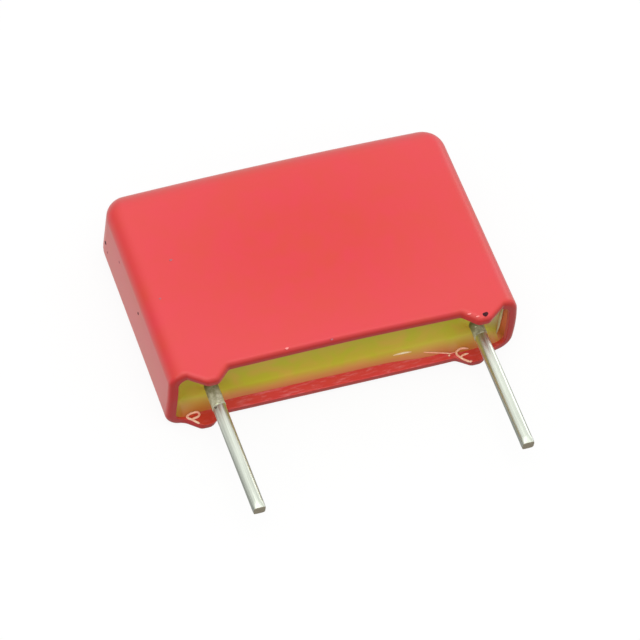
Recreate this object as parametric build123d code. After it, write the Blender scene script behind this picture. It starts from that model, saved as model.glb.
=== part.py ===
"""Box film capacitor, lying on one of its wide faces.

X runs along the box from the left lead to the right one, Y runs from the board to the closed end,
and Z is up through the thickness. The origin is midway between the two leads, in the plane of the
feet that the box stands on when it is soldered in, so both leads point along -Y.
"""
from build123d import *
import os

# Moulded case, in millimetres
case_length = 13.0
case_thickness = 3.0
case_height = 8.5
side_wall = 0.35
end_wall = 0.35
closed_wall = 0.5
end_wall_lean = 0.09
outer_edge_radius = 0.62
outer_end_radius = 1.04
inner_edge_radius = 0.35
inner_end_radius = 0.35
rim_edge_radius = 0.2

# Stand-off feet, two on each wide wall
foot_height = 0.5
foot_spacing = 10.0
foot_tip_width = 0.58
foot_inner_run = 0.27
foot_outer_run = 0.45
foot_tip_radius = 0.25
foot_root_radius = 0.3

# Tinned leads
lead_pitch = 10.0
lead_diameter = 0.5
lead_free_length = 4.5
lead_buried_length = 6.0
lead_flat_thickness = 0.36
lead_swage_length = 1.9
lead_pair_shift = 0.19
snip_length = 0.16
snip_width = 0.4

# Poured resin
fill_recess = 0.5
meniscus_radius = 0.3
meniscus_overlap = 0.04
collar_width = 0.22
collar_rise = 0.16

# Wound element and its sprayed metal ends
element_height = 6.6
element_thickness = 1.9
element_clearance = 0.2
cover_film_thickness = 0.05
contact_thickness = 0.4
lead_bedding = 0.05

# Solder that holds each lead to its sprayed end
solder_length = 3.2
solder_width = 1.3
solder_cover = 0.06

# Tools for cutting run this far past what they cut
overrun = 1.0

# Places that follow from the sizes above
box_middle = -lead_pair_shift
rim_y = foot_height
closed_y = rim_y + case_height
cavity_y = closed_y - closed_wall
fill_y = rim_y + fill_recess
lead_x = lead_pitch / 2
lead_radius = lead_diameter / 2
lead_flat_width = lead_diameter * lead_diameter / lead_flat_thickness
contact_face = lead_x - lead_flat_thickness / 2 + lead_bedding
winding_end = contact_face - contact_thickness
element_y = cavity_y - element_clearance - element_height / 2
solder_height = lead_flat_thickness - lead_bedding + solder_cover


def rounded_block(length, thickness, edge_radius, end_radius, y_from, y_to):
    """A block along Y with round long edges and a rounding round its far end.

    Its length is measured at the rim, and its ends lean in towards the closed end, so that the
    moulding leaves its mould.
    """
    slope = end_wall_lean / case_height
    near = length / 2 - slope * (y_from - rim_y)
    far = length / 2 - slope * (y_to - rim_y)
    corners = [(-near, y_from), (near, y_from), (far, y_to), (-far, y_to)]
    side_view = make_face(Polyline(*[(box_middle + x, y) for x, y in corners], close=True))
    block = extrude(side_view, amount=thickness / 2, both=True)
    end_walls = block.faces().sort_by(Axis.X)
    long_edges = []
    for wall in (end_walls[0], end_walls[-1]):
        edges = wall.edges().sort_by(Axis.Z)
        long_edges += [edges[0], edges[-1]]
    block = fillet(long_edges, edge_radius)
    return fillet(block.faces().sort_by(Axis.Y)[-1].edges(), end_radius)


def foot_points(side):
    """Corners of one foot in side view, from its outer root to its inner root; side is -1 or 1."""
    inner_tip = foot_spacing / 2 - foot_tip_width / 2
    outer_tip = foot_spacing / 2 + foot_tip_width / 2
    corners = [(outer_tip + foot_outer_run, rim_y), (outer_tip, 0), (inner_tip, 0), (inner_tip - foot_inner_run, rim_y)]
    return [(box_middle + side * x, y) for x, y in corners]


def moulding_outline():
    """Side view of the moulding: everything above the rim, and the two feet below it."""
    reach = case_length / 2 + overrun
    left_end = box_middle - reach
    right_end = box_middle + reach
    top = closed_y + overrun
    corners = [(left_end, top), (left_end, rim_y)]
    corners += foot_points(-1)
    corners += list(reversed(foot_points(1)))
    corners += [(right_end, rim_y), (right_end, top)]
    foot_radii = [foot_root_radius, foot_tip_radius, foot_tip_radius, foot_root_radius]
    radii = [0, 0] + foot_radii + foot_radii + [0, 0]
    return make_face(FilletPolyline(*corners, radius=radii, close=True))


def is_rim_edge(edge):
    """True for the outer edges of the rim and the feet, and not for the joins across the wall."""
    box = edge.bounding_box()
    along_wall = box.size.Z < side_wall or abs(edge.center().X - box_middle) > case_length / 2 - end_wall
    return box.max.Y < rim_y + side_wall and along_wall


def make_case():
    """Thin-walled moulded box, open at its rim, with four feet drawn out of its wide walls."""
    block = rounded_block(case_length, case_thickness, outer_edge_radius, outer_end_radius, 0, closed_y)
    block = block & extrude(moulding_outline(), amount=case_thickness, both=True)
    block = fillet(block.edges().filter_by(is_rim_edge), rim_edge_radius)
    return block - cavity(-overrun)


def cavity(y_from):
    """The space inside the walls, from a height y_from up to the closed end."""
    length = case_length - 2 * end_wall
    thickness = case_thickness - 2 * side_wall
    return rounded_block(length, thickness, inner_edge_radius, inner_end_radius, y_from, cavity_y)


def across_lead(y):
    """The plane across the right-hand lead at a height y above the board, centred on the wire."""
    return Plane(origin=(lead_x, y, 0), x_dir=(1, 0, 0), z_dir=(0, 1, 0))


def pinched_outline():
    """Front view of the free wire, a little narrower where the cutter pinched its end."""
    tip_y = -lead_free_length
    half = [(snip_width / 2, tip_y), (lead_radius, tip_y + snip_length), (lead_radius, 0)]
    corners = [(lead_x + x, y) for x, y in half] + [(lead_x - x, y) for x, y in reversed(half)]
    return make_face(Polyline(*corners, close=True))


def make_lead():
    """Right-hand wire: round and snipped off below the seat, and swaged flat above it.

    The flat is an oval with the area of the round wire, and lies against the sprayed end.
    """
    free = extrude(across_lead(-lead_free_length) * Circle(lead_radius), amount=lead_free_length)
    free = free & extrude(pinched_outline(), amount=lead_diameter, both=True)
    flat = across_lead(lead_swage_length) * Ellipse(lead_flat_thickness / 2, lead_flat_width / 2)
    swage = loft([across_lead(0) * Circle(lead_radius), flat])
    return free + swage + extrude(flat, amount=lead_buried_length - lead_swage_length)


def oval_block(height, thickness, x_from, x_to):
    """An oval, as of a roll pressed flat, carried along X."""
    plane = Plane(origin=(x_from, element_y, 0), x_dir=(0, 1, 0), z_dir=(1, 0, 0))
    return extrude(plane * SlotOverall(height, thickness), amount=x_to - x_from)


def make_winding():
    """The two metallised films, wound together and pressed flat; their turns are one solid."""
    height = element_height - 2 * cover_film_thickness
    thickness = element_thickness - 2 * cover_film_thickness
    return oval_block(height, thickness, -winding_end, winding_end)


def make_cover_film(winding):
    """The plain film wrapped round the winding."""
    return oval_block(element_height, element_thickness, -winding_end, winding_end) - winding


def contact_blank():
    """Right-hand sprayed metal end before the lead is bedded in it."""
    return oval_block(element_height, element_thickness, winding_end, contact_face)


def make_solder(wire):
    """Right-hand solder: a low ridge run along the sprayed end, with the wire's flat inside it."""
    plane = Plane(origin=(contact_face, element_y - solder_length / 2, 0), x_dir=(0, 0, 1), z_dir=(0, 1, 0))
    skin = ThreePointArc((-solder_width / 2, 0), (0, solder_height), (solder_width / 2, 0))
    section = make_face([skin, Line(skin @ 1, skin @ 0)])
    return extrude(plane * section, amount=solder_length) - wire


def make_collar():
    """Resin drawn up round the right-hand wire, as a low cone."""
    crest = (lead_x + lead_radius, fill_y - collar_rise)
    foot = (lead_x + lead_radius + collar_width, fill_y)
    deep = fill_y + collar_rise
    section = make_face(Polyline(crest, foot, (foot[0], deep), (lead_x, deep), (lead_x, crest[1]), close=True))
    return revolve(section, axis=Axis((lead_x, 0, 0), (0, 1, 0)))


def both_sides(solid):
    """A right-hand solid and its mirror image on the left."""
    return [mirror(solid, about=Plane.YZ), solid]


def make_resin(buried):
    """Resin poured round the element, dished between the walls and drawn up round the leads."""
    length = case_length - 2 * end_wall + 2 * meniscus_overlap
    thickness = case_thickness - 2 * side_wall + 2 * meniscus_overlap
    air = rounded_block(length, thickness, meniscus_radius, meniscus_radius, 0, fill_y)
    resin = cavity(rim_y) - air
    for collar in both_sides(make_collar()):
        resin = resin + collar
    for piece in buried:
        resin = resin - piece
    return resin


def main():
    """Builds every piece and writes each to its own file."""
    winding = make_winding()
    wire = make_lead()
    leads = both_sides(wire)
    contacts = both_sides(contact_blank() - wire)
    solders = both_sides(make_solder(wire))
    cover_film = make_cover_film(winding)
    pieces = {
        "case": make_case(),
        "resin_seal": make_resin([winding, cover_film] + contacts + solders + leads),
        "film_winding": winding,
        "cover_film": cover_film,
    }
    for name, pair in (("end_contact", contacts), ("solder_joint", solders), ("lead", leads)):
        pieces[name + "_left"], pieces[name + "_right"] = pair
    os.makedirs("parts", exist_ok=True)
    for name, shape in pieces.items():
        export_step(shape, "parts/" + name + ".step")


main()
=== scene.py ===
# %% [markdown]
# # A box film capacitor, dressed for its portrait
#
# The part is a slim red plastic box, filled with poured epoxy, that stands on a circuit board on two
# tinned wires. Here it lies on one of its wide walls, as it would on a bench. The construction comes
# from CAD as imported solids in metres, and this script gives every piece its real surface: the moulded
# box with its rounded edges and wave-shaped feet, the dished resin, and the drawn wires with their
# snipped ends. Nothing is moved or resized: each new surface stands where its CAD solid does.

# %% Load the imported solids
import math

import bmesh
import bpy
import numpy as np
from mathutils import Matrix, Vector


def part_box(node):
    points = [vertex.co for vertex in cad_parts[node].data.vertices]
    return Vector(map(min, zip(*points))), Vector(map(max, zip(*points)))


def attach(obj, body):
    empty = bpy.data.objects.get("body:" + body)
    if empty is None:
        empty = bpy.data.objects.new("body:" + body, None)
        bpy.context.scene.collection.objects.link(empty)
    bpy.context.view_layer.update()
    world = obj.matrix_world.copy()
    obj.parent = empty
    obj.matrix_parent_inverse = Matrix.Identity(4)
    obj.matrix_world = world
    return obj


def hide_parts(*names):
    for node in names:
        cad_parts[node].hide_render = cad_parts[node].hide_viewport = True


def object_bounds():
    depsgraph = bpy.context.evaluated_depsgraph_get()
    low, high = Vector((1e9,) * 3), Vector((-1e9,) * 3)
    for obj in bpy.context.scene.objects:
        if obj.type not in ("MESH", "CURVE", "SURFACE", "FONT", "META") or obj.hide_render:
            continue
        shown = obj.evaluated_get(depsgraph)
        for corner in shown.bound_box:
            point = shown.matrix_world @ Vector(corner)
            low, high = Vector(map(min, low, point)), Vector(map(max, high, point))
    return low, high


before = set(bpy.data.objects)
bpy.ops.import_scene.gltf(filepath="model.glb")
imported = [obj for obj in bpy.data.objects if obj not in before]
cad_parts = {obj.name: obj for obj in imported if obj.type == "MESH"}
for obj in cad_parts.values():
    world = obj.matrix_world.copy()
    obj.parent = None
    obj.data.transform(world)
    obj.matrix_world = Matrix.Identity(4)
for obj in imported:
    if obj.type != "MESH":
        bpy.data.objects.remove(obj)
cad_bounds = [list(corner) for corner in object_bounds()]
MM = 0.001
print("CAD box in mm:", [[round(v / MM, 3) for v in corner] for corner in cad_bounds])

# %% [markdown]
# ## Camera
#
# A camera is three things: where it stands, where it looks and how long its lens is. All three were
# found from the photograph by fitting the outline of the box, so they are plain measured values. A
# long lens far away keeps the box's edges nearly parallel, as they are in the picture. The camera's
# axes are built from two turns, round the part and up, and a roll about the line of sight.

# %% Camera
camera_place_mm = (-42.25, -77.49, 128.62)
camera_azimuth = math.radians(-27.65)
camera_elevation = math.radians(54.93)
camera_roll = math.radians(10.23)
focal_length_px = 4417
picture_px = 640
sensor_mm = 36
clip_start_mm = 10


def put_in_scene(name, data):
    """A new object with the given data, linked into the scene."""
    thing = bpy.data.objects.new(name, data)
    bpy.context.scene.collection.objects.link(thing)
    return thing


to_camera = np.array([
    math.sin(camera_azimuth) * math.cos(camera_elevation),
    -math.cos(camera_azimuth) * math.cos(camera_elevation),
    math.sin(camera_elevation),
])
level_right = np.array([math.cos(camera_azimuth), math.sin(camera_azimuth), 0])
level_up = np.cross(to_camera, level_right)
rolled_right = math.cos(camera_roll) * level_right + math.sin(camera_roll) * level_up
rolled_up = math.cos(camera_roll) * level_up - math.sin(camera_roll) * level_right

lens = bpy.data.cameras.new("camera")
lens.sensor_width = sensor_mm
lens.lens = focal_length_px / picture_px * sensor_mm
lens.clip_start = clip_start_mm * MM
camera = put_in_scene("camera", lens)
turn = Matrix(np.stack([rolled_right, rolled_up, to_camera], axis=1).tolist()).to_4x4()
camera.matrix_world = Matrix.Translation([v * MM for v in camera_place_mm]) @ turn
bpy.context.scene.camera = camera
bpy.context.scene.view_settings.view_transform = "Standard"
print("lens in mm:", round(lens.lens, 1))

# %% [markdown]
# ## Colours and nodes
#
# A material is a small network of nodes. Four helpers keep the networks readable: one turns an sRGB
# hex colour, as a paint program shows it, into the linear light that a shader works in, one adds a
# node with its settings and links, one starts a material, and one says where a ramp runs.

# %% Colour and node helpers
def linear(hex_colour):
    """Linear red, green, blue and alpha of an sRGB hex colour."""
    channels = np.array([int(hex_colour[i:i + 2], 16) for i in (1, 3, 5)]) / 255
    low = channels / 12.92
    high = ((channels + 0.055) / 1.055) ** 2.4
    return (*np.where(channels <= 0.04045, low, high).tolist(), 1.0)


def add(tree, kind, inputs=None, **settings):
    """Adds a node. Settings are its own options, and inputs gives each socket a value or a link.

    A node given as an input stands for its first output in use.
    """
    node = tree.nodes.new("ShaderNode" + kind)
    for option, value in settings.items():
        setattr(node, option, value)
    for socket, value in (inputs or {}).items():
        if isinstance(value, bpy.types.Node):
            value = next(output for output in value.outputs if output.enabled)
        if isinstance(value, bpy.types.NodeSocket):
            tree.links.new(value, node.inputs[socket])
        else:
            node.inputs[socket].default_value = value
    return node


def new_material(name):
    """An empty material, its node tree and the place on the object, which its patterns follow."""
    material = bpy.data.materials.new(name)
    material.use_nodes = True
    tree = material.node_tree
    tree.nodes.clear()
    return material, tree, add(tree, "TexCoord").outputs["Object"]


def span(ends_mm):
    """The inputs of a ramp that runs between two lengths in mm."""
    return {"From Min": ends_mm[0] * MM, "From Max": ends_mm[1] * MM}


# Sockets of the Mix node when it mixes colours
MIX_FACTOR, MIX_A, MIX_B = 0, 6, 7
print("middle grey, made linear:", round(linear("#808080")[0], 3))

# %% [markdown]
# ## Floor, world and lamps
#
# The picture was taken on a white sweep that is lit until it clips, so the background has no edge and
# almost no shadow. Lighting the real floor that hard would also bleach the part. So the floor and the
# world show plain white to the camera, and give a gentler light to the part: a dome that is brightest
# overhead, and a floor that throws little light back up. A floor keeps a share of true diffuse white,
# which is what carries the faint contact shadow.
#
# Reflections draw the shape of glossy things. The part mirrors a pale floor beside it, a darker one in
# front of it and a darker corner of the room on the left, which give the rim and the left side of each
# wire their dark edges.

# %% World
world_light = 0.97
horizon_share = 0.5
bright_from_sine = 0.6
dark_left_share = 0.4
dark_left_sines = (-0.9, 0.1)

world = bpy.data.worlds.new("white_studio")
world.use_nodes = True
sky = world.node_tree
sky.nodes.clear()
sky_path = add(sky, "LightPath")
heading = add(sky, "SeparateXYZ", {0: add(sky, "TexCoord").outputs["Generated"]})
left_corner = add(sky, "MapRange", {
    "Value": heading.outputs["X"], "From Min": dark_left_sines[0], "From Max": dark_left_sines[1],
    "To Min": dark_left_share,
})
horizon = add(sky, "MapRange", {
    "Value": sky_path.outputs["Is Glossy Ray"], "To Min": horizon_share, "To Max": left_corner,
})
dome = add(sky, "MapRange", {
    "Value": heading.outputs["Z"], "From Max": bright_from_sine, "To Min": horizon,
})
unseen = add(sky, "MapRange", {"Value": sky_path.outputs["Is Glossy Ray"], "To Min": world_light})
unseen = add(sky, "Math", {0: unseen, 1: dome}, operation="MULTIPLY")
seen = add(sky, "Math", {
    0: sky_path.outputs["Is Camera Ray"], 1: sky_path.outputs["Is Transmission Ray"],
}, operation="MAXIMUM")
strength = add(sky, "Math", {0: unseen, 1: seen}, operation="MAXIMUM")
sky_light = add(sky, "Background", {"Color": linear("#FFFFFF"), "Strength": strength})
add(sky, "OutputWorld", {"Surface": sky_light})
bpy.context.scene.world = world
print("made", world.name)

# %% Floor
floor_gap_mm = 0.002
floor_size_mm = 1200
floor_own_light = 0.9
front_reflection = 0.4
front_edge_mm = (-0.5, 2.0)

floor_material, tree, place = new_material("white_sweep_paper")
path = add(tree, "LightPath")
spot = add(tree, "SeparateXYZ", {0: place})
beside = add(tree, "MapRange", {
    "Value": spot.outputs["Y"], **span(front_edge_mm), "To Min": front_reflection,
})
plain_view = add(tree, "Math", {
    0: path.outputs["Is Camera Ray"], 1: path.outputs["Is Transmission Ray"],
}, operation="MAXIMUM")
glow_strength = add(tree, "Math", {0: beside, 1: plain_view}, operation="MAXIMUM")
seen = add(tree, "Math", {0: plain_view, 1: path.outputs["Is Glossy Ray"]}, operation="MAXIMUM")
share = add(tree, "Math", {0: seen, 1: floor_own_light}, operation="MULTIPLY")
paper_colour = add(tree, "Mix", {
    MIX_FACTOR: plain_view, MIX_A: linear("#8A8A88"), MIX_B: linear("#F6F6F4"),
}, data_type="RGBA")
paper = add(tree, "BsdfDiffuse", {"Color": paper_colour})
glow = add(tree, "Emission", {"Color": linear("#FFFFFF"), "Strength": glow_strength})
floor_mix = add(tree, "MixShader", {0: share, 1: paper, 2: glow})
add(tree, "OutputMaterial", {"Surface": floor_mix})

half_floor = floor_size_mm / 2 * MM
floor_z = cad_bounds[0][2] - floor_gap_mm * MM
floor_mesh = bpy.data.meshes.new("sweep")
signs = ((-1, -1), (1, -1), (1, 1), (-1, 1))
floor_mesh.from_pydata([(x * half_floor, y * half_floor, floor_z) for x, y in signs], [], [(0, 1, 2, 3)])
floor_mesh.materials.append(floor_material)
floor = put_in_scene("sweep", floor_mesh)
print("floor at", round(floor_z / MM, 3), "mm")

# %% Lamps
# Each lamp: its name, its place and size in mm, and its power in watts
lamps = [
    ("top_softbox", (-60, -60, 420), 420, 0.5),
    ("left_softbox", (-230, -150, 175), 90, 0.08),
    ("right_card", (260, 160, 60), 110, 0.06),
]
for name, place, size, power in lamps:
    light = bpy.data.lights.new(name, "AREA")
    light.shape = "DISK"
    light.size = size * MM
    light.energy = power
    lamp = put_in_scene(name, light)
    lamp.location = [v * MM for v in place]
    lamp.rotation_euler = lamp.location.to_track_quat("Z", "Y").to_euler()
print("lamps:", [name for name, *_ in lamps])

# %% [markdown]
# ## Moulded polyester
#
# The box is injection moulded from a red thermoplastic polyester. The mould was spark-eroded, so the
# plastic comes out satin: a very fine grain that spreads the reflection of the studio into a pale
# veil. Sheen gives that veil its strength on the walls that are seen at a slant. The pigment clouds a
# little where the melt flowed, and the grain is noise too, both on object coordinates and scaled from
# real sizes. The grain is about 0.03 mm, finer than a pixel here, so it is drawn twice as coarse.
#
# Tints are laid over that red. A wide wall is paler towards its edges, the left end is paler as a
# painted reflection, strongest low down, and the far edge is darker as painted shade. On the inside
# of the lower wall, spilt resin was wiped away and left an orange residue by the feet, and pale
# streaks, which are noise stretched along the box, are painted highlights. The rim, where it faces
# out, is darker as painted shade. A tint shows by a product of shares, and a share is a ramp or a
# limit on the place or on the way faced.

# %% Red plastic and its grain
polyester_ior = 1.57
polyester_roughness = 0.42
polyester_sheen = 0.28
sheen_roughness = 0.4
face_middle_mm = (-0.19, 4.9, 0)
face_half_mm = (6.5, 4.1, 100)
cloud_size_mm = 1.3
grain_size_mm = 0.06
grain_depth_mm = 0.0012
streak_sizes_mm = (0.4, 0.09, 0.09)

polyester, tree, place = new_material("moulded_red_polyester")
parts = add(tree, "SeparateXYZ", {0: place})
facing = add(tree, "SeparateXYZ", {0: add(tree, "NewGeometry").outputs["Normal"]})
from_middle = add(tree, "Mapping", {
    "Vector": place, "Location": [v * MM for v in face_middle_mm], "Scale": [v * MM for v in face_half_mm],
}, vector_type="TEXTURE")
from_middle = add(tree, "VectorMath", {0: from_middle}, operation="LENGTH")
along = add(tree, "Math", {0: parts.outputs["X"]}, operation="ABSOLUTE")
# noise stretched along the box, for the painted highlight streaks
stretched = add(tree, "Mapping", {
    "Vector": place, "Scale": [v * MM for v in streak_sizes_mm],
}, vector_type="TEXTURE")
streak_noise = add(tree, "TexNoise", {"Vector": stretched, "Scale": 1.0, "Detail": 4.0, "Roughness": 0.65})
clouds = add(tree, "TexNoise", {
    "Vector": place, "Scale": 1 / (cloud_size_mm * MM), "Detail": 3.0, "Roughness": 0.6,
})
grain = add(tree, "TexNoise", {"Vector": place, "Scale": 1 / (grain_size_mm * MM), "Detail": 2.0})
grain_bump = add(tree, "Bump", {"Height": grain, "Distance": grain_depth_mm * MM, "Strength": 0.5})
print("nodes so far:", len(tree.nodes))

# %% Tints of the plastic
rim_band_y_mm = 0.7
wiped_to_y_mm = 1.3

# Each ramp: what it follows, the two values it runs between, and the share at each
ramps = {
    "clouded": (clouds, 0.35, 0.65, 0, 1),
    "near_edge": (from_middle, 0.3, 1.1, 0, 0.6),
    "on_flat": (facing.outputs["Z"], 0.8, 1.0, 0, 1),
    "left_end": (facing.outputs["X"], -0.75, -1.0, 0, 1),
    "end_glare_by_z": (parts.outputs["Z"], 1.2 * MM, -1.0 * MM, 0.1, 0.4),
    "far_side_shade": (facing.outputs["Y"], 0.2, 0.8, 0, 0.5),
    "highlight_streaks": (streak_noise, 0.5, 0.7, 0, 1),
    "by_foot": (along, 3.5 * MM, 5.5 * MM, 0, 0.7),
    "rim_shade": (facing.outputs["Y"], -0.4, -0.9, 0, 0.7),
}
# Each limit: what it follows, and the value it has to be above or below
limits = {
    "looks_up": (facing.outputs["Z"], "GREATER_THAN", 0.5),
    "low": (parts.outputs["Z"], "LESS_THAN", 0.0),
    "near_rim": (parts.outputs["Y"], "LESS_THAN", wiped_to_y_mm * MM),
    "at_rim": (parts.outputs["Y"], "LESS_THAN", rim_band_y_mm * MM),
}
# Each tint, in the order laid on: its colour, and the shares whose product it shows by
tints = [
    ("#D63226", "clouded"),
    ("#DE3E44", "near_edge", "on_flat"),
    # painted reflection: the left end wall is paler, strongest low down
    ("#E6807C", "left_end", "end_glare_by_z"),
    # painted shade: darker where the surface faces the far side
    ("#B81C10", "far_side_shade"),
    # painted highlight: pale streaks on the inside of the lower wall
    ("#E4707A", "highlight_streaks", "looks_up", "low", "near_rim"),
    ("#C43208", "by_foot", "looks_up", "low", "near_rim"),
    # painted shade: the rim is darker where it faces out
    ("#B0180E", "rim_shade", "at_rim"),
]
shares = {}
for name, (value, start, end, low, high) in ramps.items():
    shares[name] = add(tree, "MapRange", {
        "Value": value, "From Min": start, "From Max": end, "To Min": low, "To Max": high,
    })
for name, (value, comparison, limit) in limits.items():
    shares[name] = add(tree, "Math", {0: value, 1: limit}, operation=comparison)
shown_colour = linear("#DA2A36")
for colour, first, *others in tints:
    share = shares[first]
    for other in others:
        share = add(tree, "Math", {0: share, 1: shares[other]}, operation="MULTIPLY")
    shown_colour = add(tree, "Mix", {
        MIX_FACTOR: share, MIX_A: shown_colour, MIX_B: linear(colour),
    }, data_type="RGBA")

surface = add(tree, "BsdfPrincipled", {
    "Base Color": shown_colour, "Roughness": polyester_roughness, "IOR": polyester_ior,
    "Sheen Weight": polyester_sheen, "Sheen Roughness": sheen_roughness,
    "Sheen Tint": linear("#FFEEE0"), "Normal": grain_bump,
})
add(tree, "OutputMaterial", {"Surface": surface})
print("made", polyester.name, "with", len(tints), "tints")

# %% [markdown]
# ## Poured epoxy
#
# The open end is sealed with epoxy, poured in and cured. It is an olive yellow, a little cloudy from
# its filler, and smooth where it set against air. Towards the right end it is paler, partly in its own
# tone and partly as painted light where the dish faces away. Where it thins out on a wall, the red
# shows through and turns it orange, and near the walls that orange also carries painted shade, so its
# colour changes with the distance to the nearest wall.

# %% Poured epoxy
epoxy_ior = 1.55
epoxy_roughness = 0.38
swirl_size_mm = 0.9
cavity_half_mm = (6.15, 1.15)
box_middle_mm = -0.19
thin_and_shaded_mm = (0.02, 0.32)
most_thin_and_shaded = 0.85
end_steepness = 8
pale_and_lit_x_mm = (5.2, 5.75)
pale_and_lit_z_mm = (-0.9, -0.3)

epoxy, tree, place = new_material("poured_olive_epoxy")
swirls = add(tree, "TexNoise", {
    "Vector": place, "Scale": 1 / (swirl_size_mm * MM), "Detail": 4.0, "Distortion": 0.6,
})
swirl_share = add(tree, "MapRange", {"Value": swirls, "From Min": 0.35, "From Max": 0.65})
epoxy_colour = add(tree, "Mix", {
    MIX_FACTOR: swirl_share, MIX_A: linear("#CCCE32"), MIX_B: linear("#DCC548"),
}, data_type="RGBA")
parts = add(tree, "SeparateXYZ", {0: place})
from_middle = add(tree, "Math", {0: parts.outputs["X"], 1: box_middle_mm * MM}, operation="SUBTRACT")
from_middle = add(tree, "Math", {0: from_middle}, operation="ABSOLUTE")
to_end = add(tree, "Math", {0: cavity_half_mm[0] * MM, 1: from_middle}, operation="SUBTRACT")
to_end = add(tree, "Math", {0: to_end, 1: end_steepness}, operation="MULTIPLY")
to_lower = add(tree, "Math", {0: parts.outputs["Z"], 1: cavity_half_mm[1] * MM}, operation="ADD")
to_wall = add(tree, "Math", {0: to_end, 1: to_lower}, operation="MINIMUM")
# orange near the walls: partly the red showing through thin resin, partly painted shade
thin_and_shaded_share = add(tree, "MapRange", {
    "Value": to_wall, **span(thin_and_shaded_mm), "To Min": most_thin_and_shaded, "To Max": 0.0,
})
# paler towards the right end: partly its own tone, partly painted light where the dish faces away
pale_and_lit_share = add(tree, "MapRange", {"Value": parts.outputs["X"], **span(pale_and_lit_x_mm)})
above_corner = add(tree, "MapRange", {"Value": parts.outputs["Z"], **span(pale_and_lit_z_mm)})
pale_and_lit_share = add(tree, "Math", {0: pale_and_lit_share, 1: above_corner}, operation="MULTIPLY")
thick_colour = add(tree, "Mix", {
    MIX_FACTOR: pale_and_lit_share, MIX_A: epoxy_colour, MIX_B: linear("#E0DA9C"),
}, data_type="RGBA")
thin_and_shaded_colour = add(tree, "Mix", {
    MIX_FACTOR: pale_and_lit_share, MIX_A: linear("#C44C1E"), MIX_B: linear("#EB6430"),
}, data_type="RGBA")
shown_colour = add(tree, "Mix", {
    MIX_FACTOR: thin_and_shaded_share, MIX_A: thick_colour, MIX_B: thin_and_shaded_colour,
}, data_type="RGBA")
surface = add(tree, "BsdfPrincipled", {
    "Base Color": shown_colour, "Roughness": epoxy_roughness, "IOR": epoxy_ior,
})
add(tree, "OutputMaterial", {"Surface": surface})
print("made", epoxy.name)

# %% [markdown]
# Epoxy also crept along each wire as a thin film before it set, and stopped at a ragged edge. The film
# is a greyer olive, because the tin shows through it. Near the resin it is darker as painted shadow,
# where the foot shades the wire, and it grows paler and patchy away from the resin.

# %% Crept epoxy film
film_patch_mm = 0.2
film_roughness = 0.28
film_shadow_y_mm = (0.8, 0.1)

crept_film, tree, place = new_material("crept_epoxy_film")
parts = add(tree, "SeparateXYZ", {0: place})
patches = add(tree, "TexNoise", {
    "Vector": place, "Scale": 1 / (film_patch_mm * MM), "Detail": 3.0, "Roughness": 0.7,
})
patch_share = add(tree, "MapRange", {"Value": patches, "From Min": 0.4, "From Max": 0.62})
out_of_shadow_share = add(tree, "MapRange", {"Value": parts.outputs["Y"], **span(film_shadow_y_mm)})
# painted shadow: darker near the resin, where the foot shades the wire
film_colour = add(tree, "Mix", {
    MIX_FACTOR: out_of_shadow_share, MIX_A: linear("#66623C"), MIX_B: linear("#B0B094"),
}, data_type="RGBA")
patch_share = add(tree, "Math", {0: patch_share, 1: out_of_shadow_share}, operation="MULTIPLY")
film_colour = add(tree, "Mix", {
    MIX_FACTOR: patch_share, MIX_A: film_colour, MIX_B: linear("#DADCC4"),
}, data_type="RGBA")
surface = add(tree, "BsdfPrincipled", {
    "Base Color": film_colour, "Roughness": film_roughness, "IOR": epoxy_ior,
})
add(tree, "OutputMaterial", {"Surface": surface})
print("made", crept_film.name)

# %% [markdown]
# Small marks have plain finishes of two tones. Pale pink, pale yellow and pale green finishes are
# painted highlights, glints on the feet, the resin's edge and the wires. A crust at the end of the
# crept film is dark, and so are specks of dirt.

# %% Finishes of the small marks
mark_tone_mm = 0.15

marks = {}
for finish, light, dark, roughness in (
    # the next three finishes are painted highlights
    ("painted_pink_highlight", "#FFD6B6", "#FF9480", 0.35),
    ("painted_pale_highlight", "#FFF8DC", "#F0C890", 0.25),
    ("milky_meniscus", "#DCD4A0", "#C8BC84", 0.35),
    ("painted_green_highlight", "#E4ECC8", "#C4CCA0", 0.3),
    ("dark_crust", "#5C5648", "#2E2A20", 0.6),
    ("dark_dirt", "#4C0C1C", "#1E040A", 0.95),
    ("grey_dust", "#BC6A74", "#A0525C", 0.7),
    # pale dust on the rim, and painted highlights on the upper right foot
    ("pale_dust_and_highlight", "#FF9E98", "#EC6C70", 0.7),
):
    marks[finish], tree, place = new_material(finish)
    tones = add(tree, "TexNoise", {"Vector": place, "Scale": 1 / (mark_tone_mm * MM), "Detail": 2.0})
    share = add(tree, "MapRange", {"Value": tones, "From Min": 0.3, "From Max": 0.7, "To Min": 0.25})
    tone = add(tree, "Mix", {
        MIX_FACTOR: share, MIX_A: linear(dark), MIX_B: linear(light),
    }, data_type="RGBA")
    surface = add(tree, "BsdfPrincipled", {"Base Color": tone, "Roughness": roughness})
    add(tree, "OutputMaterial", {"Surface": surface})
print("made", ", ".join(marks))

# %% [markdown]
# ## Tinned copper
#
# The wires are drawn copper with a coat of tin: a soft white metal with fine lines along the wire
# from the drawing die. Where the cutter went through, the face is rough and shows the darker core.

# %% Tinned copper
die_line_sizes_mm = (0.035, 3.0, 0.035)
die_line_depth_mm = 0.002
wire_roughness_range = (0.26, 0.42)
cut_face_y_mm = -4.485
cut_face_metallic = 0.3

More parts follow.
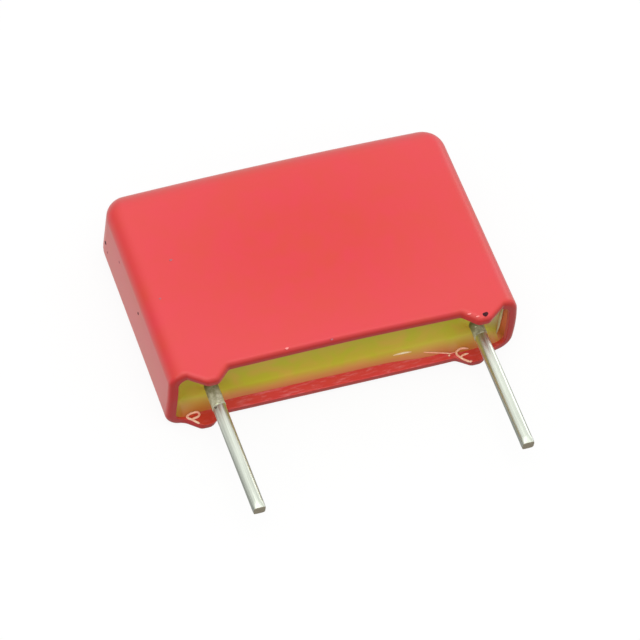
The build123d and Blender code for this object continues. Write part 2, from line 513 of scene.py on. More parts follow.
tinned_copper, tree, place = new_material("tinned_copper_drawn")
drawn = add(tree, "Mapping", {
    "Vector": place, "Scale": [v * MM for v in die_line_sizes_mm],
}, vector_type="TEXTURE")
die_lines = add(tree, "TexNoise", {"Vector": drawn, "Scale": 1.0, "Detail": 4.0, "Roughness": 0.6})
line_share = add(tree, "MapRange", {"Value": die_lines, "From Min": 0.3, "From Max": 0.7})
tin_colour = add(tree, "Mix", {
    MIX_FACTOR: line_share, MIX_A: linear("#C8CEC0"), MIX_B: linear("#E8EEE2"),
}, data_type="RGBA")
parts = add(tree, "SeparateXYZ", {0: place})
cut = add(tree, "Math", {0: parts.outputs["Y"], 1: cut_face_y_mm * MM}, operation="LESS_THAN")
wire_colour = add(tree, "Mix", {
    MIX_FACTOR: cut, MIX_A: tin_colour, MIX_B: linear("#A8A08C"),
}, data_type="RGBA")
wire_roughness = add(tree, "MapRange", {
    "Value": die_lines, "To Min": wire_roughness_range[0], "To Max": wire_roughness_range[1],
})
wire_roughness = add(tree, "Math", {0: wire_roughness, 1: cut}, operation="MAXIMUM")
wire_metallic = add(tree, "MapRange", {"Value": cut, "To Min": 1.0, "To Max": cut_face_metallic})
line_bump = add(tree, "Bump", {"Height": die_lines, "Distance": die_line_depth_mm * MM, "Strength": 0.6})
surface = add(tree, "BsdfPrincipled", {
    "Base Color": wire_colour, "Metallic": wire_metallic, "Roughness": wire_roughness,
    "Normal": line_bump,
})
add(tree, "OutputMaterial", {"Surface": surface})
print("made", tinned_copper.name)

# %% [markdown]
# ## Turning numbers into a mesh
#
# Every new piece is a grid of points: rows along one direction and columns along another. Numpy works
# all the points out at once, and the faces are the grid's squares. Where a grid closes on itself or
# shrinks to a line, its points coincide, and welding them leaves one clean closed skin.

# %% Mesh helpers
weld_distance_mm = 0.0001


def grid_faces(rows, columns):
    """The squares of a grid whose last column joins its first."""
    row = np.arange(rows - 1)[:, None]
    column = np.arange(columns)[None, :]
    following = (column + 1) % columns
    corners = [row * columns + column, row * columns + following]
    corners += [(row + 1) * columns + following, (row + 1) * columns + column]
    return np.stack(corners, axis=-1).reshape(-1, 4)


def make_piece(name, points_mm, material, node=None):
    """A smooth closed skin from a grid of points in mm (rows, columns, 3), welded, facing outwards."""
    rows, columns, _ = points_mm.shape
    mesh = bpy.data.meshes.new(name)
    mesh.from_pydata((points_mm.reshape(-1, 3) * MM).tolist(), [], grid_faces(rows, columns).tolist())
    work = bmesh.new()
    work.from_mesh(mesh)
    bmesh.ops.remove_doubles(work, verts=work.verts, dist=weld_distance_mm * MM)
    bmesh.ops.recalc_face_normals(work, faces=work.faces)
    work.to_mesh(mesh)
    work.free()
    mesh.shade_smooth()
    mesh.materials.append(material)
    piece = put_in_scene(name, mesh)
    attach(piece, "root")
    if node:
        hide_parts(node)
    print(name, "has", len(mesh.polygons), "faces")


# %% [markdown]
# ## The moulded box
#
# Look down on the open end and the box is a rounded rectangle. One way to describe a rounded
# rectangle is as a smaller, sharp one, with every point pushed out by the corner radius in its own
# direction. Each column of the mesh therefore has three numbers: how far along the sharp rectangle
# it sits, in each direction, and the angle that it faces. The same three numbers give every ring of
# the box, from the outer wall to the closed end to the cavity, just with other sizes.
#
# The rim is not level: each wide wall carries two feet. Their outline is drawn in the plane of the
# wall, with a radius at each corner, and each column of a wide wall stops on it.

# %% Sizes of the box
box_low, box_high = (np.array(corner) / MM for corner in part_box("case"))
box_middle_x = (box_low[0] + box_high[0]) / 2
half_length = (box_high[0] - box_low[0]) / 2
half_thickness = (box_high[2] - box_low[2]) / 2
closed_y = box_high[1]
foot_height = 0.5
foot_spacing = 10.22
foot_tip_width = 0.4
foot_tip_y = 0.03
foot_tip_radius = 0.3
inner_root_radius = 0.22
upper_foot = {"inner_run": 0.52, "outer_run": 0.64, "outer_root_radius": 0.25}
lower_foot = {"inner_run": 0.47, "outer_run": 0.54, "outer_root_radius": 0.45}
rim_y = box_low[1] + foot_height
side_wall = 0.35
end_wall = 0.35
closed_wall = 0.5
edge_radius = 0.62
end_radius = 1.04
cavity_radius = 0.35
rim_radius = 0.2
inner_rim_radius = 0.03
cavity_length = half_length - end_wall
cavity_thickness = half_thickness - side_wall
box_size = (2 * half_length, closed_y - rim_y, 2 * half_thickness)
print("box in mm:", [round(v, 2) for v in box_size])


# %% Outline of the rim
def rounded_path(corners, radii, step, arc_steps=8):
    """Points and left-hand normals along a path, with an arc at each inner corner.

    A corner that turns by an angle loses radius times the tangent of half that angle from both its
    sides, and an arc of that radius joins them.
    """
    corners = np.array(corners, float)
    way = np.diff(corners, axis=0)
    way /= np.linalg.norm(way, axis=1)[:, None]
    heading = np.unwrap(np.arctan2(way[:, 1], way[:, 0]))
    turns = np.diff(heading)
    cuts = np.concatenate([[0], np.array(radii) * np.tan(np.abs(turns) / 2), [0]])
    points, headings = [], []
    for i, direction in enumerate(way):
        start = corners[i] + direction * cuts[i]
        end = corners[i + 1] - direction * cuts[i + 1]
        share = np.linspace(0, 1, max(2, int(np.ceil(np.linalg.norm(end - start) / step)) + 1))
        points.append(start + share[:, None] * (end - start))
        headings.append(np.full(len(share), heading[i]))
        if i < len(turns):
            arc = np.linspace(0, 1, arc_steps + 1)[1:-1] * turns[i]
            side = math.copysign(1, turns[i])
            centre = end + side * radii[i] * np.array([-direction[1], direction[0]])
            angle = heading[i] + arc
            points.append(centre + side * radii[i] * np.stack([np.sin(angle), -np.cos(angle)], axis=1))
            headings.append(angle)
    headings = np.concatenate(headings)
    return np.concatenate(points), np.stack([-np.sin(headings), np.cos(headings)], axis=1)


straight = half_length - edge_radius
outline_end = straight + edge_radius * math.pi / 2
outline_step = 0.05


def rim_outline(inner_run, outer_run, outer_root_radius):
    """Points and normals of a wide wall's rim with its feet, from one corner's middle to the other's."""
    inner = foot_spacing / 2 - foot_tip_width / 2
    outer = foot_spacing / 2 + foot_tip_width / 2
    foot = [(outer + outer_run, rim_y), (outer, foot_tip_y)]
    foot += [(inner, foot_tip_y), (inner - inner_run, rim_y)]
    corners = [(-outline_end, rim_y)] + [(-x, y) for x, y in foot] + foot[::-1] + [(outline_end, rim_y)]
    radii = [outer_root_radius, foot_tip_radius, foot_tip_radius, inner_root_radius]
    return rounded_path(corners, radii + radii[::-1], outline_step)


def height_and_normal(places, points, normals):
    """The height and the normal of an outline at given places along it, between its own points."""
    height, normal_x, normal_y = (np.interp(places, points[:, 0], v) for v in (points[:, 1], *normals.T))
    return height, normal_x, normal_y


upper_rim = rim_outline(**upper_foot)
lower_rim = rim_outline(**lower_foot)
places_along = upper_rim[0][1:-1, 0]
print("columns along each wide wall:", len(places_along))


# %% Columns round the box
end_columns = np.concatenate([[-1, -0.98], np.linspace(-0.9, 0.9, 17), [0.98, 1]])


def wide_wall_columns(rim):
    """For each column: place along the sharp rectangle in x and z, angle faced, rim height, rim normal.

    The rim's outline is wrapped round: past the straight part of a wide wall it goes round the corner,
    and the angle faced turns by the distance along the outline over the corner's radius.
    """
    turned = np.maximum(np.abs(places_along) - straight, 0) / edge_radius
    angle = math.pi / 2 - np.sign(places_along) * turned
    x = np.clip(places_along / straight, -1, 1)
    return np.stack([x, np.ones(len(x)), angle, *height_and_normal(places_along, *rim)])


def columns_round_the_box():
    """The same numbers for every column: the upper wall, the right end, the lower wall, the left end.

    Both wide walls have their columns at the same places, so that they meet on the middle line of the
    closed end.
    """
    top = wide_wall_columns(upper_rim)
    bottom = wide_wall_columns(lower_rim)[:, ::-1] * np.array([1, -1, -1, 1, 1, 1])[:, None]
    none = np.zeros(len(end_columns))
    end = np.stack([none + 1, -end_columns, none, none + rim_y, none, none + 1])
    other_end = end * np.array([-1, -1, 1, 1, 1, 1])[:, None]
    other_end[2] -= math.pi
    return np.concatenate([top, end, bottom, other_end], axis=1)


column_x, column_z, column_angle, column_rim, lean_x, lean_y = columns_round_the_box()
print("columns:", len(column_x))


def ring(length, thickness, radius):
    """Points of rounded rectangles; each size may be a column of values, one for each row."""
    length, thickness, radius = (np.reshape(v, (-1, 1)) for v in (length, thickness, radius))
    x = column_x * (length - radius) + radius * np.cos(column_angle)
    z = column_z * (thickness - radius) + radius * np.sin(column_angle)
    return x, z


# %% [markdown]
# The box's skin is one surface. Start in the middle of the closed end, go out to its edge, round
# over, run down the outside to the rim, round over the rim, and go back up inside to the far end of
# the cavity. Each stretch is a block of rows, and the blocks are stacked.

# %% Closed end
rounding_rows = 14
outer_end_shares = (1, 0.75, 0.5, 0.25, 0.03)
cavity_end_shares = (1, 0.5, 0.05)


def closed_end(length, thickness, corner, rounding, y_end, shares):
    """Rows from the middle of an end face out to its edge and over the rounding.

    On the flat the ring is inset from the wall by a share of the half thickness. On the rounding, at
    an angle t, it is inset by its radius times (1 - sin t) and lies its radius times (1 - cos t) below
    the end. The corner radius shrinks in step with the inset.
    """
    flat = rounding + (thickness - rounding) * np.array(shares)
    angle = np.linspace(0, math.pi / 2, rounding_rows)
    inset = np.concatenate([flat, rounding * (1 - np.sin(angle))])
    y = np.concatenate([np.full(len(flat), y_end), y_end - rounding * (1 - np.cos(angle))])
    x, z = ring(length - inset, thickness - inset, corner * np.clip(1 - inset / rounding, 0, 1))
    return np.stack([x, y[:, None] + np.zeros_like(x), z], axis=-1)


cavity_sizes = (cavity_length, cavity_thickness, cavity_radius)
cavity_end = closed_end(*cavity_sizes, cavity_radius, closed_y - closed_wall, cavity_end_shares)
print("rows of the cavity's end:", len(cavity_end))


# %% Skin of the box
rim_rows = 8
land_rows = 5
# Shares of the way down the outer wall to the rim, and up the cavity from it. The rows lie close
# together by the rim, whose waves they carry.
rows_down = np.concatenate([
    [0.003, 0.03, 0.1, 0.2, 0.3, 0.4, 0.5, 0.6, 0.7, 0.78, 0.84, 0.88, 0.91, 0.93, 0.945],
    np.linspace(0.95, 0.998, 16),
])
rows_up = np.concatenate([np.linspace(0.002, 0.12, 24), np.linspace(0.2, 0.99, 9)])


def box_skin():
    """The closed skin of the box, as rows from the closed end to the rim and back up the cavity."""
    outer_sizes = (half_length, half_thickness, edge_radius)
    outer_x, outer_z = ring(*outer_sizes)
    inner_x, inner_z = ring(*cavity_sizes)
    wall = np.hypot(inner_x - outer_x, inner_z - outer_z)

    def across(inset, offset):
        """Rows at an inset from the outer face and an offset inwards from the rim's outline.

        The outline's lean turns with the angle faced where it goes round a corner.
        """
        share = inset / wall
        x = outer_x + (inner_x - outer_x) * share + lean_x * offset * np.abs(np.sin(column_angle))
        z = outer_z + (inner_z - outer_z) * share - lean_x * offset * np.cos(column_angle) * column_z
        return np.stack([x, column_rim + lean_y * offset, z], axis=-1)

    outer_end = closed_end(*outer_sizes, end_radius, closed_y, outer_end_shares)
    turn = np.linspace(0, math.pi / 2, rim_rows)[:, None]
    rim_out = across(rim_radius * (1 - np.cos(turn)), rim_radius * (1 - np.sin(turn)))
    land_shares = np.linspace(0, 1, land_rows)[1:-1, None]
    land = across(rim_radius + (wall - inner_rim_radius - rim_radius) * land_shares, 0 * land_shares)
    back = turn[::-1]
    rim_in = across(wall - inner_rim_radius * (1 - np.cos(back)), inner_rim_radius * (1 - np.sin(back)))
    down = outer_end[-1] + (rim_out[0] - outer_end[-1]) * rows_down[:, None, None]
    up = rim_in[-1] + (cavity_end[-1] - rim_in[-1]) * rows_up[:, None, None]
    skin = np.concatenate([outer_end, down, rim_out, land, rim_in, up, cavity_end[::-1]])
    return skin + np.array([box_middle_x, 0, 0])


print("rows down and up the walls:", len(rows_down), len(rows_up))

# %% [markdown]
# No moulding stays quite straight. The upper wall of the real box stands a few hundredths of a
# millimetre proud in its middle, because the resin pushed it out as it cured, the right end swells a
# little, and the rim sags below and is lifted above. So every point of the box, and later of the
# resin, is moved by a few smooth formulas, and the two keep touching.

# %% Walls as they really stand
end_lean = 0.07
end_shift = 0.04
bow_at_rim = 0.06
bow_at_closed_end = 0.03
right_end_shares = (0.8, 0.95)
swell_depth = 0.14
swell_z = -0.4
swell_reach = 0.5
rim_sag = 0.11
sag_slope = 0.05
far_crown = 0.08
left_lift = 0.09
lift_shares = (-0.1, 0.9)


def smooth_ramp(value, start, end):
    """0 before start, 1 past end, and 3 t^2 - 2 t^3 between them, with t the share of the way."""
    t = np.clip((value - start) / (end - start), 0, 1)
    return t * t * (3 - 2 * t)


def warp_walls(points):
    """Moves points of the straight walls to where the real ones stand.

    With u the height above the rim, from 0 to 1, and v the place along the box, from -1 to 1: the ends
    lean in by end_lean times u; the upper wall rises by its bow times (1 - v^2); the right end wall
    stands end_shift further out and swells by a parabola in z that fades with u; the lower rim sags by
    (rim_sag + sag_slope v) (1 - v^6), fading with u and towards the tips of its feet; the upper rim is
    lifted by left_lift, fading with u and to nothing at the right; and the closed end drops by
    far_crown v^2 u.
    """
    x, y, z = np.moveaxis(points, -1, 0)
    x = x - box_middle_x
    u = (y - rim_y) / (closed_y - rim_y)
    v = x / half_length
    upper, lower = (smooth_ramp(side * z, 0, cavity_thickness) for side in (1, -1))
    right = smooth_ramp(v, *right_end_shares)
    fading = np.clip(1 - u / swell_reach, 0, 1) ** 2
    swell = swell_depth * right * fading * np.clip(1 - ((z - swell_z) / half_thickness) ** 2, 0, 1)
    bow = bow_at_rim + (bow_at_closed_end - bow_at_rim) * np.clip(u, 0, 1)
    sag = (rim_sag + sag_slope * v) * (1 - np.minimum(np.abs(v), 1) ** 6) * np.clip(y / rim_y, 0, 1)
    lift = left_lift * (1 - smooth_ramp(v, *lift_shares))
    x = x * (1 - end_lean / half_length * u) + swell + end_shift * right
    y = y + (lift * upper - sag * lower) * fading - far_crown * v ** 2 * np.clip(u, 0, 1)
    return np.stack([x + box_middle_x, y, z + bow * (1 - v ** 2) * upper], axis=-1)


make_piece("case", warp_walls(box_skin()), polyester, "case")

# %% [markdown]
# ## The resin
#
# Wet resin climbs the walls and the wires, and cures that way: a dish with a curved edge, called a
# meniscus. How far it climbs differs from place to place. On this part it climbs least along the
# middle, and comes almost to the rim beside each wire and at the ends. The same ring of columns that
# made the box makes the dish, from the wall inwards. The rest of the resin fills the cavity, unseen.

# %% Resin
lead_x = 5.0
lead_radius = 0.243
dish_y = rim_y + 0.67
plain_climb = 0.26
left_climb = 0.58
right_climb = 0.5
wire_climb = 0.5
right_rise = 0.12
wall_reach = 0.15
wire_swell = 0.3
wire_reach = 0.14
wire_from_x = (4.45, 4.95)
end_from_x = (5.3, 6.0)
rise_from_x = (2.0, 4.0)
middle_rows = 20
edge_band = 0.3
edge_rows = 16
edge_spacing_power = 1.6
side_shares = (0.01, 0.25, 0.5, 0.75, 0.99)


def climb_along_walls():
    """How far the resin climbs the wall at each column.

    There is one height along the middle, one beside the wires and one at each end, with a further rise
    between the middle and the right wire.
    """
    along = np.abs(column_x) * (half_length - cavity_radius)
    beside_wire = smooth_ramp(along, *wire_from_x)
    at_end = smooth_ramp(along, *end_from_x)
    end_climb = np.where(column_x > 0, right_climb, left_climb)
    climb = plain_climb + (wire_climb - plain_climb) * beside_wire + (end_climb - wire_climb) * at_end
    return climb + right_rise * smooth_ramp(column_x * half_length, *rise_from_x) * (1 - beside_wire)


def resin_skin():
    """The dish from its middle out to the wall, then the outside of the fill up to the closed end.

    The dish lies at dish_y less two rises: the climb times exp(-inset / wall_reach), and beside each
    wire its swell times exp(-distance / wire_reach).
    """
    middle = np.linspace(cavity_thickness, edge_band, middle_rows)[:-1]
    inset = np.concatenate([middle, edge_band * np.linspace(1, 0, edge_rows) ** edge_spacing_power])
    x, z = ring(cavity_length - inset, cavity_thickness - inset, np.maximum(cavity_radius - inset, 0))
    to_wire = np.hypot(np.abs(x + box_middle_x) - lead_x, z) - lead_radius
    swell = wire_swell * np.exp(-np.maximum(to_wire, 0) / wire_reach)
    climb = climb_along_walls() * np.exp(-inset / wall_reach)[:, None]
    dish = np.stack([x, dish_y - climb - swell, z], axis=-1)
    side = dish[-1] + (cavity_end[-1] - dish[-1]) * np.reshape(side_shares, (-1, 1, 1))
    skin = np.concatenate([dish, side, cavity_end[::-1]])
    return skin + np.array([box_middle_x, 0, 0])


make_piece("resin_seal", warp_walls(resin_skin()), epoxy, "resin_seal")

# %% [markdown]
# ## The wires
#
# Each wire is a tube along Y whose section changes on the way: squeezed square where it was snipped,
# round until just above the board, and pressed to a flat oval inside the resin. A superellipse covers
# all three with one formula: x to a power plus z to the same power is one, with a power of 2 for an
# oval and more for a squarer one.

# %% Wires
lead_free = 4.5
lead_buried = 6.0
flat_half_x = 0.18
flat_half_z = 0.347
swage_from_y = 0.4
swage_to_y = 1.9
pinch_length = 0.3
pinch_x = 0.03
pinch_z = 0.06
pinch_power = 3
wire_columns = 64
round_about = np.linspace(0, 2 * math.pi, wire_columns, endpoint=False)


def superellipse(half_x, half_z, power, angles):
    """Rows of closed sections; in each, |x / half_x| ^ power + |z / half_z| ^ power = 1."""
    half_x, half_z, power = (np.reshape(v, (-1, 1)) for v in (half_x, half_z, power))
    c, s = np.cos(angles), np.sin(angles)
    reach = (np.abs(c) ** power + np.abs(s) ** power) ** (-1 / power)
    return half_x * c * reach, half_z * s * reach


def swaged_halves(y):
    """Half the wire's size in x and in z at each height, as it goes from round to flat."""
    swage = smooth_ramp(y, swage_from_y, swage_to_y)
    return [lead_radius + (flat - lead_radius) * swage for flat in (flat_half_x, flat_half_z)]


def wire_skin():
    """The wire's skin about its own axis, from the cut face up to its buried end.

    Towards the cut, both half sizes shrink by their pinch, the section's power grows by pinch_power
    and the rows crowd together. The first and last rows shrink to a point and close the ends.
    """
    y = np.array([
        -lead_free, -lead_free, -lead_free, -4.495, -4.48, -4.44, -4.38, -4.3, -4.2, -3.5, -2.5, -1.5,
        -0.5, swage_from_y, 0.7, 1, 1.5, swage_to_y, lead_buried, lead_buried, lead_buried,
    ])
    cap = np.ones(len(y))
    cap[:3], cap[-2:] = (0, 0.5, 0.92), (0.5, 0)
    pinch = 1 - np.clip((y + lead_free) / pinch_length, 0, 1)
    half_x, half_z = swaged_halves(y)
    half_x = (half_x - pinch_x * pinch) * cap
    half_z = (half_z - pinch_z * pinch) * cap
    x, z = superellipse(half_x, half_z, 2 + pinch_power * pinch, round_about)
    return np.stack([x, y[:, None] + np.zeros_like(x), z], axis=-1)


for side, name in ((-1, "lead_left"), (1, "lead_right")):
    make_piece(name, wire_skin() + np.array([side * lead_x, 0, 0]), tinned_copper, name)

# %% [markdown]
# The crept film is a sleeve over the wire: the same sections as the wire's, a hundredth of a
# millimetre bigger, from the resin to where it stopped. It thickens to a small lip there. The two
# films stopped at different heights, and a speck of crust caught on the edge of the left one.

# %% Crept film on the wires
film_thickness = 0.012
edge_thickness = 0.005
sunk_in_wire = 0.02
flare = 0.012
flare_reach = 0.08
lip_length = 0.04
outer_rows = 10
inner_rows = 6
ragged_reach = 0.3
film_top_y = dish_y + 0.1


def film_skin(tip_y, lip_thickness, ragged):
    """A thin sleeve: outer rows from its top to its tip, a rounded lip, and inner rows back.

    It flares by flare times exp(-distance / flare_reach) towards the resin. Its edge wanders along the
    wire by ragged times the sum of two sines of the angle round it.
    """
    lip_y = tip_y + lip_length * np.linspace(3, 0, outer_rows)
    outer_y = np.concatenate([np.linspace(film_top_y, lip_y[0], outer_rows)[:-1], lip_y])
    lip = lip_thickness * np.exp(-((outer_y - tip_y - lip_length) / lip_length) ** 2)
    grown = film_thickness + lip
    grown += flare * np.exp(-np.maximum(dish_y - wire_swell - outer_y, 0) / flare_reach)
    grown[-1] = edge_thickness
    grown = np.concatenate([grown, np.full(inner_rows, -sunk_in_wire)])
    y = np.concatenate([outer_y, np.linspace(tip_y, film_top_y, inner_rows)])
    half_x, half_z = swaged_halves(y)
    x, z = superellipse(half_x + grown, half_z + grown, np.full(len(y), 2.0), round_about)
    wander = ragged * (np.sin(round_about + 1) + 0.5 * np.sin(3 * round_about))
    near_tip = np.exp(-((y - tip_y) / ragged_reach) ** 2)[:, None]
    skin = np.stack([x, y[:, None] + wander * near_tip, z], axis=-1)
    return np.concatenate([skin, skin[:1]])


# Each film: its name, side, where it stops, thickness of its lip and how ragged its edge is, in mm
for name, side, tip_y, lip_thickness, ragged in (
    ("crept_film_left", -1, -0.1, 0.01, 0.03), ("crept_film_right", 1, 0.3, 0.002, 0.05),
):
    skin = film_skin(tip_y, lip_thickness, ragged) + np.array([side * lead_x, 0, 0])
    make_piece(name, skin, crept_film)

# %% [markdown]
# ## Beads, edges and specks
#
# Two looped threads, a twelfth of a millimetre wide, lie on the feet of the lower wall: pale tubes
# painted as highlights, the glints round small runs of resin. The edge where the resin climbs to the
# right foot carries a painted highlight too, and a milky line runs down the right end wall. Each is a
# tube along a smooth path through a few points, thinning out at its ends. Specks of dirt and dust, and
# small painted glints, are flattened ellipsoids.

# %% Tubes along a path
lower_face_z = -1.15
thread_lift = 0.02
resin_edge_lift = 0.05
resin_edge_y = (0.5, 0.7)
tube_columns = 12


def smooth_path(points, per_span=10):
    """A Catmull-Rom curve: each span is a cubic whose end slopes are half the step between neighbours."""
    points = np.array(points, float)
    ends = [2 * points[0] - points[1]], [2 * points[-1] - points[-2]]
    points = np.concatenate([ends[0], points, ends[1]])
    before, start, end, after = (points[i:len(points) - 3 + i, None, :] for i in range(4))
    t = np.linspace(0, 1, per_span, endpoint=False)[None, :, None]
    bend = 2 * before - 5 * start + 4 * end - after
    curl = 3 * start - before - 3 * end + after
    curve = start + 0.5 * ((end - before) * t + bend * t ** 2 + curl * t ** 3)
    return np.concatenate([curve.reshape(-1, 3), points[-2:-1]])


def tube_skin(path, radius, taper, face):
    """A tube along a path on a face with a given normal.

    Its radius fades over the taper share at each end, as the square root of the way in.
    """
    way = np.gradient(path, axis=0)
    way /= np.linalg.norm(way, axis=1)[:, None]
    side = np.cross(face, way)
    share = np.linspace(0, 1, len(path))
    fade = np.sqrt(np.clip(np.minimum(share, 1 - share) / taper, 0, 1))
    angles = np.linspace(0, 2 * math.pi, tube_columns, endpoint=False)[None, :, None]
    grown = radius * fade[:, None, None]
    return path[:, None, :] + grown * (np.cos(angles) * side[:, None, :] + np.sin(angles) * np.array(face))


def on_lower_wall(points):
    """Points on the inside of the lower wall, from their x and y; they rise over the resin's edge."""
    x, y = np.array(points).T
    z = lower_face_z + thread_lift + resin_edge_lift * smooth_ramp(y, *resin_edge_y)
    return np.stack([x, y, z], axis=1)


left_loop = [
    (-5.55, 0.13), (-5.66, 0.24), (-5.77, 0.37), (-5.87, 0.45), (-5.9, 0.53), (-5.75, 0.6),
    (-5.62, 0.61), (-5.49, 0.6), (-5.45, 0.52), (-5.51, 0.43), (-5.64, 0.4), (-5.77, 0.38),
]
right_loop = [
    (4.79, 0.59), (4.61, 0.65), (4.45, 0.65), (4.31, 0.58), (4.3, 0.46), (4.37, 0.34), (4.46, 0.22),
    (4.58, 0.11), (4.67, 0.05),
]
right_branch = [(4.39, 0.33), (4.46, 0.38), (4.58, 0.41), (4.73, 0.41)]
climbing_edge = [(2.0, 0.97, -1.0), (2.26, 0.98, -1.0), (2.5, 0.97, -1.0), (2.71, 0.94, -1.0)]
lower_edge = [(2.75, 0.98), (3.3, 0.81), (3.58, 0.72), (3.85, 0.64), (4.08, 0.58), (4.3, 0.58)]
end_edge = [
    (5.93, 0.78, 0.8), (5.93, 0.82, 0.5), (5.93, 0.84, 0.0), (5.92, 0.82, -0.5), (5.88, 0.78, -0.85),
]
up, inward = (0, 0, 1), (-1, 0, 0)

# Each thread: its name, path, radius in mm, share that tapers, face it lies on and finish
threads = [
    # painted highlights: pale threads on the lower feet and along the resin's climbing edge
    ("highlight_loop_left", on_lower_wall(left_loop), 0.042, 0.04, up, "painted_pink_highlight"),
    ("highlight_loop_right", on_lower_wall(right_loop), 0.042, 0.1, up, "painted_pink_highlight"),
    ("highlight_branch_right", on_lower_wall(right_branch), 0.038, 0.3, up, "painted_pink_highlight"),
    ("highlight_resin_edge", climbing_edge, 0.036, 0.4, up, "painted_pale_highlight"),
    ("highlight_lower_edge", on_lower_wall(lower_edge), 0.024, 0.3, up, "painted_pink_highlight"),
    ("resin_edge_end", end_edge, 0.06, 0.5, inward, "milky_meniscus"),
]
for name, points, radius, taper, face, finish in threads:
    make_piece(name, tube_skin(smooth_path(points), radius, taper, face), marks[finish])


# %% Specks and painted highlights
def on_upper_wall(x, y, drop):
    """A place on the bowed upper wall, less what the rounding of the rim drops there."""
    bow = bow_at_rim * (1 - ((x - box_middle_x) / half_length) ** 2)
    return x, y, half_thickness + bow - drop


def on_left_end(y, z):
    """A place on the left end wall, which leans in with the height above the rim."""
    return box_middle_x - half_length + end_lean * (y - rim_y) / (closed_y - rim_y), y, z


speck_waves = (0.16, 0.1)
speck_rows = 9
speck_columns = 20


def speck_skin(middle, half_sizes):
    """A flattened ellipsoid, as rows from pole to pole, made uneven by two waves round it."""
    rise = np.linspace(-math.pi / 2, math.pi / 2, speck_rows)[:, None]
    turn = np.linspace(0, 2 * math.pi, speck_columns, endpoint=False)[None, :]
    uneven = 1 + speck_waves[0] * np.sin(2 * turn + 1) + speck_waves[1] * np.sin(3 * turn)
    x = half_sizes[0] * np.cos(rise) * np.cos(turn) * uneven
    y = half_sizes[1] * np.cos(rise) * np.sin(turn) * uneven
    z = half_sizes[2] * np.sin(rise) + 0 * turn
    return np.stack([x, y, z], axis=-1) + np.array(middle)


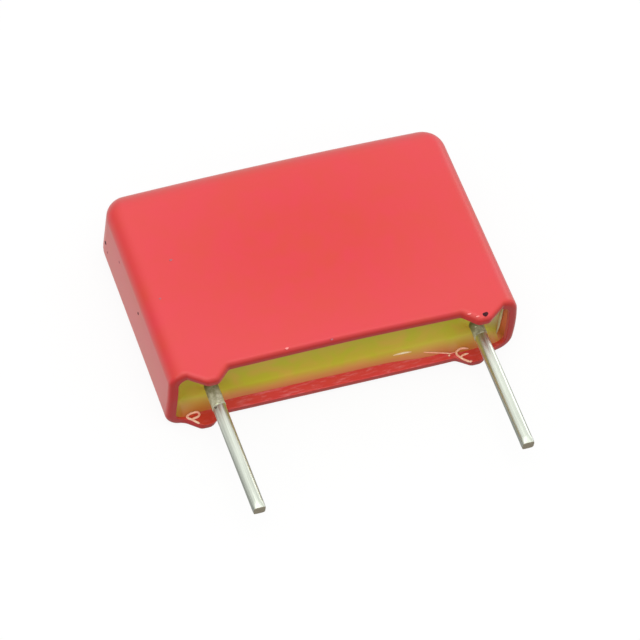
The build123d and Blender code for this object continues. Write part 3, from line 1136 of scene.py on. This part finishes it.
# Each speck or painted highlight: its name, its middle and half sizes in mm, its finish and its slot
specks = [
    ("dark_pit_right_foot", on_upper_wall(4.93, 0.24, 0.003), (0.1, 0.1, 0.012), "dark_dirt", "case"),
    # painted highlights: two glints on the upper right foot
    ("highlight_upper_foot_a", on_upper_wall(4.4, 0.42, 0.035), (0.08, 0.04, 0.012), "pale_dust_and_highlight", "case"),
    ("highlight_upper_foot_b", on_upper_wall(4.65, 0.23, 0.022), (0.07, 0.035, 0.012), "pale_dust_and_highlight", "case"),
    ("pale_speck_rim_a", on_upper_wall(-2.37, 0.7, 0.005), (0.06, 0.045, 0.015), "pale_dust_and_highlight", "case"),
    ("pale_speck_rim_b", on_upper_wall(-0.72, 0.64, 0.01), (0.045, 0.04, 0.015), "grey_dust", "case"),
    ("grey_speck_face_a", on_upper_wall(-5.12, 5.37, 0), (0.05, 0.05, 0.006), "grey_dust", "case"),
    ("grey_speck_face_b", on_upper_wall(-6.0, 3.9, 0), (0.04, 0.04, 0.006), "grey_dust", "case"),
    ("dark_speck_end_a", on_left_end(7.88, -0.28), (0.012, 0.09, 0.07), "dark_dirt", "case"),
    ("dark_speck_end_b", on_left_end(4.15, 0.5), (0.012, 0.06, 0.06), "dark_dirt", "case"),
    ("grey_speck_end_c", on_left_end(7.6, -0.5), (0.012, 0.06, 0.05), "grey_dust", "case"),
    ("grey_speck_end_d", on_left_end(6.4, 0.55), (0.012, 0.06, 0.05), "grey_dust", "case"),
    ("crust_speck_left", (-5.17, -0.165, 0.175), (0.05, 0.045, 0.04), "dark_crust", "resin"),
    # painted highlights: glints on the wires and on the lower right foot
    ("highlight_film_left", (-5.07, -0.05, 0.235), (0.05, 0.055, 0.025), "painted_green_highlight", "resin"),
    ("highlight_wire_right", (4.89, 0.61, 0.22), (0.045, 0.03, 0.025), "painted_green_highlight", "resin"),
    ("highlight_lower_foot_right", (4.67, 0.05, -1.11), (0.055, 0.045, 0.05), "painted_pink_highlight", "resin"),
    ("highlight_branch_end", (4.01, 0.51, -1.12), (0.04, 0.04, 0.03), "painted_pink_highlight", "resin"),
]
for name, middle, half_sizes, finish, slot in specks:
    make_piece(name, speck_skin(middle, half_sizes), marks[finish])

# %% [markdown]
# ## Inside the resin
#
# The roll, its plain cover film, the sprayed metal ends and the solder can't be seen, but each gets
# the finish of the real one. The CAD solids have the right shape, and only their materials change.

# %% Finishes of the buried pieces
# Each finish: its name, sizes of its features in mm, two colours, metallic, roughness, depth in mm, nodes
buried = [
    ("metallised_film_roll", (4, 0.06, 0.06), "#8E9297", "#A9ADB2", 0.6, 0.35, 0.002, ["film_winding"]),
    ("plain_polyester_film", (2, 0.5, 0.5), "#CFC7A4", "#DDD6BA", 0.0, 0.25, 0.001, ["cover_film"]),
    ("arc_sprayed_zinc", (0.08, 0.08, 0.08), "#6E7073", "#94979A", 0.8, 0.75, 0.02,
     ["end_contact_left", "end_contact_right"]),
    ("tin_solder", (0.4, 0.4, 0.4), "#B4B7BA", "#CED1D3", 1.0, 0.3, 0.004,
     ["solder_joint_left", "solder_joint_right"]),
]
for finish, sizes_mm, dark, light, metallic, roughness, depth_mm, nodes in buried:
    material, tree, place = new_material(finish)
    stretched = add(tree, "Mapping", {
        "Vector": place, "Scale": [v * MM for v in sizes_mm],
    }, vector_type="TEXTURE")
    pattern = add(tree, "TexNoise", {"Vector": stretched, "Scale": 1.0, "Detail": 3.0})
    share = add(tree, "MapRange", {"Value": pattern, "From Min": 0.35, "From Max": 0.65})
    tone = add(tree, "Mix", {
        MIX_FACTOR: share, MIX_A: linear(dark), MIX_B: linear(light),
    }, data_type="RGBA")
    bump = add(tree, "Bump", {"Height": pattern, "Distance": depth_mm * MM, "Strength": 0.6})
    surface = add(tree, "BsdfPrincipled", {
        "Base Color": tone, "Metallic": metallic, "Roughness": roughness, "Normal": bump,
    })
    add(tree, "OutputMaterial", {"Surface": surface})
    for node in nodes:
        for material_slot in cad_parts[node].material_slots:
            material_slot.material = material
print("buried finishes:", [row[0] for row in buried])
